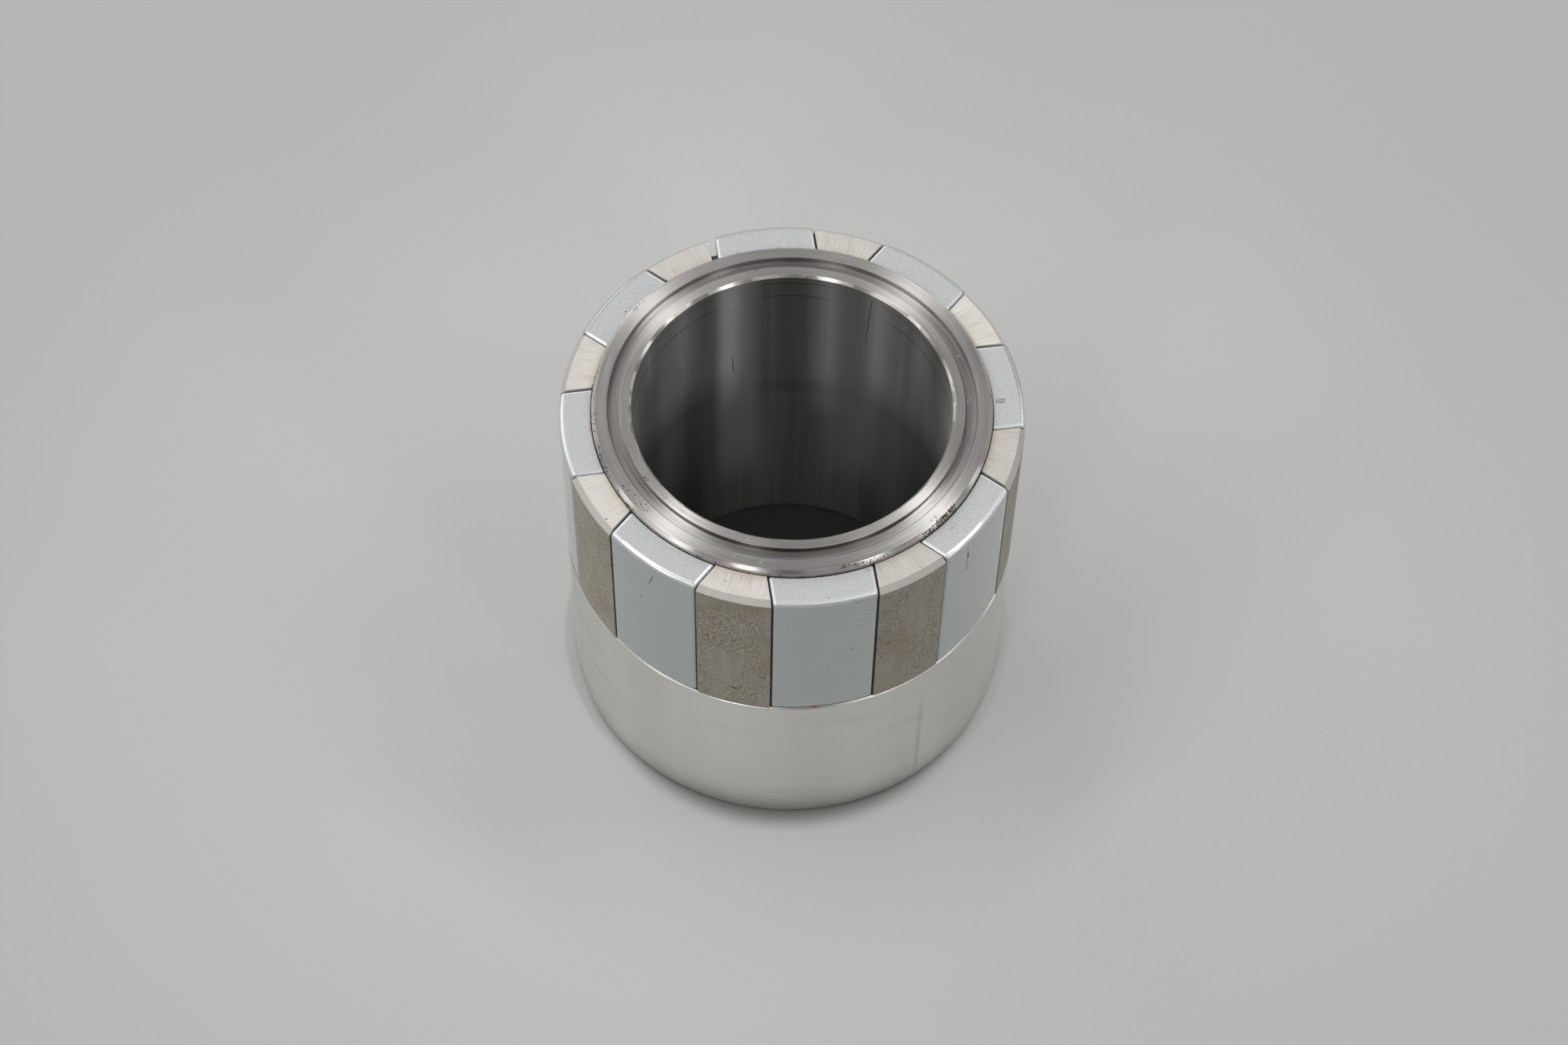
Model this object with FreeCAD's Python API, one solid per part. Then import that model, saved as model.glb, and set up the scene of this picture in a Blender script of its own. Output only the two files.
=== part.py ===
"""Magnetic coupling rotor: a turned steel hub with a crown of bonded magnets.

Eight plated magnets with parallel sides alternate with eight bare keystone magnets round a thin
sleeve, seated on the shoulder of a thicker collar and held by dark adhesive. They were set one
against the next, so the last joint is wider than the others and stands open.
Frame: millimetres, +Z is the axis of rotation, the origin is the centre of the base.
"""
import FreeCAD
import Part

import math
import os

# Hub
bore_diameter = 40.0
sleeve_wall = 5.0
collar_height = 27.0
bore_chamfer = 0.35
base_chamfer = 0.5
rim_chamfer = 0.2

# Lead-in at the top of the bore, opened by a hair so that the shaft enters freely
lead_in_depth = 4.0
lead_in_relief = 0.02

# Turned end face of the sleeve: an inner land, a square groove and an outer land, chamfered outside
inner_land = 1.15
outer_land = 1.6
groove_depth = 0.65
face_chamfer = 0.4

# Magnets
pole_count = 8
magnet_thickness = 4.0
magnet_length = 24.5
plated_width = 12.75
plated_edge_radius = 0.7
plated_foot_bevel = 0.5
bare_bevel = 0.7
sleeve_above_magnets = 0.9
first_magnet_deg = 98.5

# Adhesive: the film behind the magnets, the joints between them and the last joint, left open
bond_film = 0.1
bond_seam = 0.2
open_seam = 0.85
open_seam_fill = 0.6

# Sizes that follow
bore_r = bore_diameter / 2
lead_in_r = bore_r + lead_in_relief
sleeve_r = bore_r + sleeve_wall
magnet_inner_r = sleeve_r + bond_film
magnet_outer_r = magnet_inner_r + magnet_thickness
collar_r = magnet_outer_r
magnet_top = collar_height + magnet_length
hub_height = magnet_top + sleeve_above_magnets

# The pitch from one plated magnet to the next, once the play of the open joint is taken off
mean_magnet_r = (magnet_inner_r + magnet_outer_r) / 2
open_play_deg = math.degrees((open_seam - bond_seam) / mean_magnet_r)
pitch_deg = (360.0 - open_play_deg) / pole_count

AXIS = FreeCAD.Vector(0, 0, 1)
ORIGIN = FreeCAD.Vector(0, 0, 0)


def turned(profile):
    """A solid of revolution about Z from a closed half section of (radius, height) points."""
    points = [FreeCAD.Vector(radius, 0, height) for radius, height in profile]
    wire = Part.makePolygon(points + points[:1])
    return Part.Face(wire).revolve(ORIGIN, AXIS, 360)


def hub():
    """The sleeve and its collar, turned from one bar, with a plain bore right through."""
    land_outer_r = sleeve_r - face_chamfer
    groove_outer_r = land_outer_r - outer_land
    groove_inner_r = lead_in_r + bore_chamfer + inner_land
    groove_floor = hub_height - groove_depth
    return turned([
        (bore_r + bore_chamfer, 0),
        (collar_r - base_chamfer, 0),
        (collar_r, base_chamfer),
        (collar_r, collar_height - rim_chamfer),
        (collar_r - rim_chamfer, collar_height),
        (sleeve_r, collar_height),
        (sleeve_r, hub_height - face_chamfer),
        (land_outer_r, hub_height),
        (groove_outer_r, hub_height),
        (groove_outer_r, groove_floor),
        (groove_inner_r, groove_floor),
        (groove_inner_r, hub_height),
        (lead_in_r + bore_chamfer, hub_height),
        (lead_in_r, hub_height - bore_chamfer),
        (lead_in_r, hub_height - lead_in_depth),
        (bore_r, hub_height - lead_in_depth),
        (bore_r, bore_chamfer),
    ])


def side_point(centre_deg, offset, radius, height):
    """Where the line beside a plated magnet, at offset from its middle plane, meets a radius."""
    along = math.sqrt(radius ** 2 - offset ** 2)
    centre = math.radians(centre_deg)
    x = along * math.cos(centre) - offset * math.sin(centre)
    y = along * math.sin(centre) + offset * math.cos(centre)
    return FreeCAD.Vector(x, y, height)


def arc_block(right_deg, right_offset, left_deg, left_offset, inner_r, outer_r, bottom, top):
    """A block between two radii, bounded by one side line on its right and one on its left."""
    middle = math.radians((right_deg + left_deg) / 2)

    def on_middle(radius):
        return FreeCAD.Vector(radius * math.cos(middle), radius * math.sin(middle), bottom)

    inner_right = side_point(right_deg, right_offset, inner_r, bottom)
    outer_right = side_point(right_deg, right_offset, outer_r, bottom)
    inner_left = side_point(left_deg, left_offset, inner_r, bottom)
    outer_left = side_point(left_deg, left_offset, outer_r, bottom)
    edges = [
        Part.LineSegment(inner_right, outer_right).toShape(),
        Part.Arc(outer_right, on_middle(outer_r), outer_left).toShape(),
        Part.LineSegment(outer_left, inner_left).toShape(),
        Part.Arc(inner_left, on_middle(inner_r), inner_right).toShape(),
    ]
    return Part.Face(Part.Wire(edges)).extrude(FreeCAD.Vector(0, 0, top - bottom))


def plated_block():
    """A plated magnet at angle zero before its edges are rounded: parallel sides, curved faces."""
    half = plated_width / 2
    return arc_block(0, -half, 0, half, magnet_inner_r, magnet_outer_r, collar_height, magnet_top)


def bare_block():
    """A bare magnet before its bevel: the keystone left between two plated magnets.

    Its left neighbour is the plated magnet at angle zero, its right one is a pitch further on.
    """
    offset = plated_width / 2 + bond_seam
    return arc_block(
        -pitch_deg, offset, 0, -offset, magnet_inner_r, magnet_outer_r, collar_height, magnet_top)


def lies_on(edge, radius=None, height=None):
    """True for an edge whose ends both lie at a radius from the axis, at a height, or at both."""
    near = 1e-4
    for vertex in edge.Vertexes:
        if radius is not None and abs(math.hypot(vertex.X, vertex.Y) - radius) > near:
            return False
        if height is not None and abs(vertex.Z - height) > near:
            return False
    return True


def plated_magnet():
    """A plated magnet at angle zero: rounded outer and upper edges, eased edges round its foot.

    The edges at its back stay sharp, where the adhesive film meets them.
    """
    block = plated_block()
    free = [edge for edge in block.Edges if not lies_on(edge, radius=magnet_inner_r)]
    rounded = [edge for edge in free if not lies_on(edge, height=collar_height)]
    tumbled = block.makeFillet(plated_edge_radius, rounded)
    foot = [
        edge for edge in tumbled.Edges
        if lies_on(edge, height=collar_height) and not lies_on(edge, radius=magnet_inner_r)]
    return tumbled.makeChamfer(plated_foot_bevel, foot)


def bare_magnet():
    """A bare magnet beside angle zero, ground all over, bevelled along its upper outer edge."""
    block = bare_block()
    bevelled = [edge for edge in block.Edges if lies_on(edge, magnet_outer_r, magnet_top)]
    return block.makeChamfer(bare_bevel, bevelled)


def placed(shape, index):
    """A copy of a shape turned to its place: the magnets were set clockwise, one by one."""
    copy = shape.copy()
    copy.rotate(ORIGIN, AXIS, first_magnet_deg - index * pitch_deg)
    return copy


def adhesive():
    """The cured adhesive in one piece: the film behind the magnets and the joints between them.

    It stops where the plated edges begin to round, and only a fillet of it lies in the open joint.
    """
    depth = magnet_length - plated_edge_radius
    seam_outer_r = magnet_outer_r - plated_edge_radius
    base = FreeCAD.Vector(0, 0, collar_height)
    cast = Part.makeCylinder(seam_outer_r, depth, base).cut(Part.makeCylinder(sleeve_r, depth, base))
    blocks = [plated_block(), bare_block()]
    for index in range(pole_count):
        for block in blocks:
            cast = cast.cut(placed(block, index))
    half = plated_width / 2
    open_play = arc_block(
        -pitch_deg - open_play_deg, half, -pitch_deg, half + bond_seam,
        sleeve_r + open_seam_fill, magnet_outer_r, collar_height, magnet_top)
    return cast.cut(placed(open_play, pole_count - 1))


def main():
    parts = {"rotor_hub": hub(), "adhesive_bond": adhesive()}
    plated = plated_magnet()
    bare = bare_magnet()
    for index in range(pole_count):
        parts[f"plated_magnet_{index + 1}"] = placed(plated, index)
        parts[f"bare_magnet_{index + 1}"] = placed(bare, index)
    os.makedirs("parts", exist_ok=True)
    for name, shape in parts.items():
        box = shape.BoundBox
        print(f"{name:18s} solids {len(shape.Solids)} valid {shape.isValid()} "
              f"volume {shape.Volume:9.2f} z {box.ZMin:.2f} to {box.ZMax:.2f}")
        shape.exportStep(f"parts/{name}.step")


main()
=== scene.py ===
"""Looks of the magnetic coupling rotor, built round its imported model.

Every size in a formula of a shape is in millimetres, with +Z the axis of rotation and the origin
at the centre of the base. add_piece turns them into Blender's metres. Materials work in metres.
"""

import bpy
import numpy as np
from bpy.props import FloatProperty, FloatVectorProperty, PointerProperty
from mathutils import Matrix, Vector


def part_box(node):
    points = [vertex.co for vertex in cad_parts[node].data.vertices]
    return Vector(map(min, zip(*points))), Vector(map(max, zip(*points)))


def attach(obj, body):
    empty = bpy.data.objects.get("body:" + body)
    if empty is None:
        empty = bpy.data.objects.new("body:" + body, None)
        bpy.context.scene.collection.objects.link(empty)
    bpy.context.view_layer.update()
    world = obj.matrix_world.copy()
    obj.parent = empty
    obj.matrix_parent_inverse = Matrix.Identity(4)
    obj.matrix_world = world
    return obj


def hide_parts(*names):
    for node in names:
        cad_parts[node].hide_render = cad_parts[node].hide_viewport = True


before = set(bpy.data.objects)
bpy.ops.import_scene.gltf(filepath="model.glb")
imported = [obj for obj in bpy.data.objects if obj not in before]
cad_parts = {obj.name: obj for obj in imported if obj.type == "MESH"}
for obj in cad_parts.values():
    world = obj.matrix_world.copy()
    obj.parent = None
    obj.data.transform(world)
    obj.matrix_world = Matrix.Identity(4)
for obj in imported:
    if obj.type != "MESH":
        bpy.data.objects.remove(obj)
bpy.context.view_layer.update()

bl_info = {
    "name": "Magnetic Coupling Rotor",
    "version": (1, 0, 0),
    "blender": (4, 5, 0),
    "location": "View3D > Sidebar > Rotor",
    "description": "Builds a turned hub with its crown of bonded magnets, and a stage for it",
    "category": "Add Mesh",
}

MM = 0.001
POLES = 8
FIRST_MAGNET = 98.5

# Details of the hub, in millimetres
BORE_CHAMFER, BASE_CHAMFER, FACE_CHAMFER, RIM_CHAMFER = 0.35, 0.5, 0.4, 0.2
INNER_LAND, OUTER_LAND = 1.15, 1.6
LEAD_IN_DEPTH, LEAD_IN_RELIEF = 4.0, 0.02


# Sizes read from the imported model

def low(node):
    """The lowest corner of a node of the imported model, in metres."""
    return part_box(node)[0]


def high(node):
    """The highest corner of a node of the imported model, in metres."""
    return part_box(node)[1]


def length_property(name, description, default):
    """A length that a user may change."""
    return FloatProperty(
        name=name, description=description, default=default, min=0.0, precision=5,
        unit="LENGTH", subtype="DISTANCE")


def colour_property(name, description, default):
    """A colour that a user may change, in linear values."""
    return FloatVectorProperty(
        name=name, description=description, default=default, size=3, min=0.0, max=1.0,
        subtype="COLOR")


class RotorSizes(bpy.types.PropertyGroup):
    """The sizes of the rotor's pieces."""

    hub_height: length_property(
        "Hub height", "From the base to the turned end face", high("rotor_hub")[2])
    outer_radius: length_property(
        "Outer radius", "Radius of the collar and of the magnets' faces", high("rotor_hub")[0])
    shoulder: length_property(
        "Shoulder", "Height of the shoulder that the magnets stand on", low("plated_magnet_1")[2])
    magnet_top: length_property(
        "Magnet top", "Height of the magnets' ground ends", high("plated_magnet_1")[2])
    bore_radius: length_property("Bore radius", "Radius of the through bore", 0.020)
    sleeve_radius: length_property("Sleeve radius", "Outer radius of the thin sleeve", 0.025)
    film: length_property("Adhesive film", "Adhesive between the sleeve and the magnets", 0.0001)
    seam: length_property("Joint width", "Width of the joint between two magnets", 0.0002)
    open_seam: length_property("Open joint", "Width of the last joint, which stands open", 0.00085)
    plated_width: length_property("Plated width", "Width of a plated magnet", 0.01275)
    plated_ease: length_property("Plated edge", "Radius of a plated magnet's edges", 0.0007)
    bare_bevel: length_property("Bare bevel", "Bevel along a bare magnet's upper edge", 0.0007)
    groove_depth: length_property("Groove depth", "Depth of the groove in the end face", 0.00065)


class Millimetres:
    """The rotor's sizes in millimetres, by the same names."""

    def __init__(self, sizes):
        for name in RotorSizes.__annotations__:
            setattr(self, name, getattr(sizes, name) / MM)


class RotorColours(bpy.types.PropertyGroup):
    """The colours of the rotor's finishes and of the stage."""

    steel: colour_property("Steel", "Turned steel of the hub", (0.60, 0.575, 0.555))
    bore: colour_property("Bore", "Steel in the bore", (0.50, 0.495, 0.485))
    collar: colour_property("Collar", "Satin steel of the collar", (0.765, 0.755, 0.713))
    # one plating in two colours: its ends painted lighter than its sides, as painted light
    plating: colour_property("Plating", "Plating on the magnets' sides", (0.328, 0.374, 0.364))
    plated_end_painted_lighter: colour_property("Plated end", "Plating on the magnets' ends", (0.70, 0.715, 0.72))
    grit: colour_property("Sintered face", "Outside of a bare magnet", (0.335, 0.302, 0.240))
    ground: colour_property("Ground end", "Ground end of a bare magnet", (0.69, 0.655, 0.605))
    adhesive: colour_property("Adhesive", "Cured adhesive in the joints", (0.012, 0.011, 0.010))
    crumb: colour_property("Crumbs", "Crumbs of adhesive on the end face", (0.045, 0.027, 0.02))
    table: colour_property("Table", "Pale table that the rotor stands on", (0.49, 0.49, 0.485))


# Surfaces

def surface(rows, start_pole=None, end_pole=None, closed_path=False):
    """Points and faces of a grid, rows by columns by (x, y, z) in millimetres.

    Columns run counter-clockwise round the piece and close on themselves. Each row is joined to
    the next, the last one also to the first where closed_path is set, and a pole closes an end of
    the grid with a fan of triangles.
    """
    count, around, _ = rows.shape
    points = rows.reshape(-1, 3)
    index = np.arange(count * around).reshape(count, around)
    ahead = np.roll(index, -1, axis=1)
    last = count if closed_path else count - 1
    quads = np.stack(
        [index, ahead, np.roll(ahead, -1, axis=0), np.roll(index, -1, axis=0)], axis=-1)
    faces = quads[:last].reshape(-1, 4).tolist()
    if start_pole is not None:
        fan = np.stack([np.full(around, len(points)), ahead[0], index[0]], axis=-1)
        points = np.vstack([points, start_pole])
        faces += fan.tolist()
    if end_pole is not None:
        fan = np.stack([np.full(around, len(points)), index[-1], ahead[-1]], axis=-1)
        points = np.vstack([points, end_pole])
        faces += fan.tolist()
    return points, faces


def closed_ends(rows):
    """A surface whose two ends close on the mean of their rows."""
    return surface(rows, rows[0].mean(axis=0)[None], rows[-1].mean(axis=0)[None])


def add_piece(name, surfaces, *materials):
    """One smooth-shaded object at the origin, from surfaces given in millimetres."""
    points, faces, count = [], [], 0
    for part_points, part_faces in surfaces:
        points.append(part_points)
        faces += [[count + corner for corner in face] for face in part_faces]
        count += len(part_points)
    mesh = bpy.data.meshes.new(name)
    mesh.from_pydata((np.concatenate(points) * MM).tolist(), [], faces)
    mesh.polygons.foreach_set("use_smooth", np.ones(len(mesh.polygons), dtype=bool))
    for material in materials:
        mesh.materials.append(material)
    mesh.update()
    piece = bpy.data.objects.new(name, mesh)
    bpy.context.scene.collection.objects.link(piece)
    return piece


def ripple(points, wavelength, seed, octaves=3):
    """A smooth random field between about -1 and 1 at points in millimetres.

    It is a sum of sine waves in random directions, each octave with half the wavelength and half
    the height of the one before.
    """
    random = np.random.default_rng(seed)
    total = np.zeros(points.shape[:-1])
    for octave in range(octaves):
        directions = random.normal(size=(5, 3))
        directions /= np.linalg.norm(directions, axis=1, keepdims=True)
        phases = random.uniform(0, 2 * np.pi, 5)
        waves = np.sin(points @ directions.T * (2 * np.pi * 2 ** octave / wavelength) + phases)
        total += waves.sum(axis=-1) / 5 / 2 ** octave
    return total


def turned(x, y, degrees):
    """Points turned about the axis."""
    angle = np.radians(degrees)
    return x * np.cos(angle) - y * np.sin(angle), x * np.sin(angle) + y * np.cos(angle)


def eased_section(corners, radii, guards, steps=5):
    """A closed section whose corners give way to arcs.

    For a corner with interior angle t, the arc of radius r touches each side at r / tan(t / 2)
    from the corner, and its centre is r / sin(t / 2) up the bisector. A guard point just beyond
    each end of the arc keeps the shading of the flat beside it even.
    """
    corners, radii, guards = (np.asarray(a, dtype=float) for a in (corners, radii, guards))
    back = np.roll(corners, 1, axis=0) - corners
    ahead = np.roll(corners, -1, axis=0) - corners
    back /= np.linalg.norm(back, axis=1, keepdims=True)
    ahead /= np.linalg.norm(ahead, axis=1, keepdims=True)
    half = np.arccos(np.clip((back * ahead).sum(axis=1), -1, 1)) / 2
    reach = (radii / np.tan(half))[:, None]
    bisector = back + ahead
    bisector /= np.linalg.norm(bisector, axis=1, keepdims=True)
    centre = corners + bisector * (radii / np.sin(half))[:, None]
    start = corners + back * reach - centre
    end = corners + ahead * reach - centre
    sweep = (np.pi - 2 * half)[:, None, None]
    k = np.linspace(0, 1, steps)[None, :, None]
    arc = np.sin((1 - k) * sweep) * start[:, None] + np.sin(k * sweep) * end[:, None]
    arc = arc / np.sin(sweep) + centre[:, None]
    before = (corners + back * (reach + guards[:, None]))[:, None]
    after = (corners + ahead * (reach + guards[:, None]))[:, None]
    return np.concatenate([before, arc, after], axis=1).reshape(-1, 2)


def revolved(section, around):
    """A closed section of (radius, height) points carried round the axis.

    The section runs clockwise in the plane of radius and height, so that the faces point outwards.
    """
    angle = np.linspace(0, 2 * np.pi, around, endpoint=False)
    radius, height = section[:, 0][:, None], section[:, 1][:, None]
    return np.stack([
        radius * np.cos(angle), radius * np.sin(angle), height + 0 * angle], axis=-1)


def block_loops(heights, side_deg, side_offset, inner_r, outer_r, corner, inner_corner,
                side_inset, outer_inset, inner_inset):
    """Loops of a block between two radii and two side lines, mirrored about the X axis.

    The left side is the line at side_offset from the axis in direction side_deg. At each height
    the sides, the outer arc and the inner arc draw in by their insets, and an arc tangent to side
    and face rounds each corner.
    """
    beta = np.radians(side_deg)
    z, side_inset, outer_inset, inner_inset, corner = (
        np.broadcast_to(np.asarray(a, dtype=float), np.shape(heights))[:, None]
        for a in (heights, side_inset, outer_inset, inner_inset, corner))
    outer = outer_r - outer_inset
    inner = inner_r + inner_inset
    line = side_offset - side_inset

    # Centres of the two corner arcs, in the frame of the side line
    outer_n = line - corner
    outer_t = np.sqrt((outer - corner) ** 2 - outer_n ** 2)
    inner_n = line - inner_corner
    inner_t = np.sqrt((inner + inner_corner) ** 2 - inner_n ** 2)
    outer_turn = np.arctan2(outer_n, outer_t)
    inner_turn = np.arctan2(inner_n, inner_t)

    def arc(centre_t, centre_n, radius, first, last, steps):
        """Points of an arc, in the frame of the side line, from one direction to another."""
        k = np.linspace(0, 1, steps)
        phi = first + (last - first) * k
        return centre_t + radius * np.cos(phi), centre_n + radius * np.sin(phi)

    k = np.linspace(0, 1, 20, endpoint=False)
    face = k * (outer_turn + beta) - beta
    face_t, face_n = outer * np.cos(face), outer * np.sin(face)
    outer_corner_t, outer_corner_n = arc(
        outer_t, outer_n, corner, outer_turn, np.pi / 2 + 0 * outer_turn, 8)
    inner_corner_t, inner_corner_n = arc(
        inner_t, inner_n, inner_corner, np.pi / 2 + 0 * inner_turn, inner_turn + np.pi, 5)
    k = np.array([0.02, 0.2, 0.4, 0.6, 0.8, 0.98])
    side_t = outer_corner_t[:, -1:] * (1 - k) + inner_corner_t[:, :1] * k
    side_n = outer_corner_n[:, -1:] * (1 - k) + inner_corner_n[:, :1] * k
    k = np.array([0.02, 0.15, 0.3, 0.5, 0.7, 0.85, 1.0])
    back = inner_turn - k * (inner_turn + beta)
    back_t, back_n = inner * np.cos(back), inner * np.sin(back)
    t = np.concatenate([face_t, outer_corner_t, side_t, inner_corner_t, back_t], axis=1)
    n = np.concatenate([face_n, outer_corner_n, side_n, inner_corner_n, back_n], axis=1)
    x = t * np.cos(beta) - n * np.sin(beta)
    y = t * np.sin(beta) + n * np.cos(beta)
    x = np.concatenate([x, x[:, -2:0:-1]], axis=1)
    y = np.concatenate([y, -y[:, -2:0:-1]], axis=1)
    return np.stack([x, y, z + 0 * x], axis=-1)


def capped(loops, centre, shrink=(0.03, 0.3, 0.7)):
    """Loops with more of them at each end, drawn in towards the centre of the flat end."""
    shrink = np.asarray(shrink)[:, None, None]
    bottom = np.array([centre[0], centre[1], loops[0, 0, 2]])
    top = np.array([centre[0], centre[1], loops[-1, 0, 2]])
    lower = loops[0] * (1 - shrink) + bottom * shrink
    upper = loops[-1] * (1 - shrink) + top * shrink
    return np.concatenate([lower[::-1], loops, upper]), bottom, top


def rounding(heights, bottom, top, radius):
    """How far a rounded edge draws in: r - sqrt(r^2 - s^2), at height s into the rounding."""
    above = np.clip(heights - (top - radius), 0, radius)
    below = np.clip(bottom + radius - heights, 0, radius)
    into = np.maximum(above, below)
    return radius - np.sqrt(radius ** 2 - into ** 2)


def placed(rows, degrees):
    """Grid points turned about the axis."""
    x, y = turned(rows[..., 0], rows[..., 1], degrees)
    return np.stack([x, y, rows[..., 2]], axis=-1)


def worn_body(rows, start, end, field, depth, degrees):
    """A magnet's surface turned to its place, with its points drawn in towards its middle.

    The depth is multiplied by (1 - field), so the surface is level where the field is 1.
    """
    centre = (start + end) / 2
    away = (rows - centre) / np.linalg.norm(rows - centre, axis=-1, keepdims=True)
    shaped = rows + away * (field[..., None] - 1.0) * depth
    return surface(
        placed(shaped, degrees), placed(start[None], degrees), placed(end[None], degrees))


def magnet_layout(sizes):
    """The pitch and the direction of each plated magnet, as they were set one against the next."""
    mean_r = (sizes.sleeve_radius + sizes.film + sizes.outer_radius) / 2
    play = np.degrees((sizes.open_seam - sizes.seam) / mean_r)
    pitch = (360.0 - play) / POLES
    return pitch, FIRST_MAGNET - pitch * np.arange(POLES)


# Materials

class Finish:
    """A node material under construction."""

    def __init__(self, name):
        self.material = bpy.data.materials.new(name)
        self.material.use_nodes = True
        self.tree = self.material.node_tree
        self.shader = self.tree.nodes["Principled BSDF"]
        self.object = self.node("ShaderNodeTexCoord").outputs["Object"]

    def node(self, kind, **settings):
        """A new node with its settings."""
        node = self.tree.nodes.new(kind)
        for key, value in settings.items():
            setattr(node, key, value)
        return node

    def feed(self, socket, value):
        """Links an output to a socket, or sets the socket's own value."""
        if isinstance(value, bpy.types.NodeSocket):
            self.tree.links.new(value, socket)
        else:
            socket.default_value = value

    def math(self, operation, a, b=0.0, clamp=False):
        """One step of arithmetic."""
        node = self.node("ShaderNodeMath", operation=operation, use_clamp=clamp)
        self.feed(node.inputs[0], a)
        self.feed(node.inputs[1], b)
        return node.outputs[0]

    def times(self, a, b):
        """The product of two values."""
        return self.math("MULTIPLY", a, b)

    def plus(self, a, b, clamp=False):
        """The sum of two values."""
        return self.math("ADD", a, b, clamp)

    def ramp(self, value, low, high, first=0.0, last=1.0):
        """Maps low..high to first..last with a smooth step."""
        node = self.node("ShaderNodeMapRange", interpolation_type="SMOOTHSTEP")
        self.feed(node.inputs["Value"], value)
        for name, number in (
                ("From Min", low), ("From Max", high), ("To Min", first), ("To Max", last)):
            self.feed(node.inputs[name], number)
        return node.outputs["Result"]

    def near(self, value, centre, half):
        """1 where a value is at centre, falling to 0 at half a width away."""
        away = self.math("ABSOLUTE", self.math("SUBTRACT", value, centre))
        return self.ramp(away, half, 0.4 * half)

    def noise(self, scale, detail=2.0, roughness=0.5, distortion=0.0, at=None):
        """Fractal noise between 0 and 1, at the object's own coordinates or another vector."""
        node = self.node("ShaderNodeTexNoise")
        for name, value in (
                ("Vector", at or self.object), ("Scale", scale), ("Detail", detail),
                ("Roughness", roughness), ("Distortion", distortion)):
            self.feed(node.inputs[name], value)
        return node.outputs["Fac"]

    def cover(self, colour, *coats):
        """A colour under coats, each given as how much of it shows and its own colour."""
        for factor, coat in coats:
            colour = self.blend(factor, colour, coat)
        return colour

    def stretched(self, vector, scale):
        """A vector with its parts scaled apart."""
        node = self.node("ShaderNodeMapping")
        self.feed(node.inputs["Vector"], vector)
        node.inputs["Scale"].default_value = scale
        return node.outputs["Vector"]

    def split(self):
        """X, Y and Z of the object's own coordinates, in metres."""
        node = self.node("ShaderNodeSeparateXYZ")
        self.feed(node.inputs[0], self.object)
        return node.outputs[0], node.outputs[1], node.outputs[2]

    def joined(self, x, y, z):
        """A vector from three numbers."""
        node = self.node("ShaderNodeCombineXYZ")
        for socket, value in zip(node.inputs, (x, y, z)):
            self.feed(socket, value)
        return node.outputs[0]

    def blend(self, factor, a, b, mode="MIX"):
        """Mixes two colours."""
        node = self.node("ShaderNodeMix", data_type="RGBA", blend_type=mode)
        self.feed(node.inputs[0], factor)
        for socket, value in ((node.inputs[6], a), (node.inputs[7], b)):
            if isinstance(value, bpy.types.NodeSocket):
                self.feed(socket, value)
            else:
                socket.default_value = (*value, 1.0)
        return node.outputs[2]

    def polar(self):
        """Radius, height and direction of a point, the last in radians, from the object's axis."""
        x, y, z = self.split()
        radius = self.math("SQRT", self.plus(self.times(x, x), self.times(y, y)))
        return radius, z, self.math("ARCTAN2", y, x)

    def bump(self, height, distance, strength=1.0):
        """Bump from a height between 0 and 1, with its depth in metres."""
        node = self.node("ShaderNodeBump")
        self.feed(node.inputs["Height"], height)
        node.inputs["Distance"].default_value = distance
        node.inputs["Strength"].default_value = strength
        self.feed(self.shader.inputs["Normal"], node.outputs[0])

    def set(self, **values):
        """Sets sockets of the shader, such as base_color or roughness."""
        for key, value in values.items():
            name = key.replace("_", " ").title().replace("Ior", "IOR")
            self.feed(self.shader.inputs[name], value)


def scaled(colour, factor):
    """A colour made lighter or darker."""
    return tuple(min(1.0, channel * factor) for channel in colour)


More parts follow.
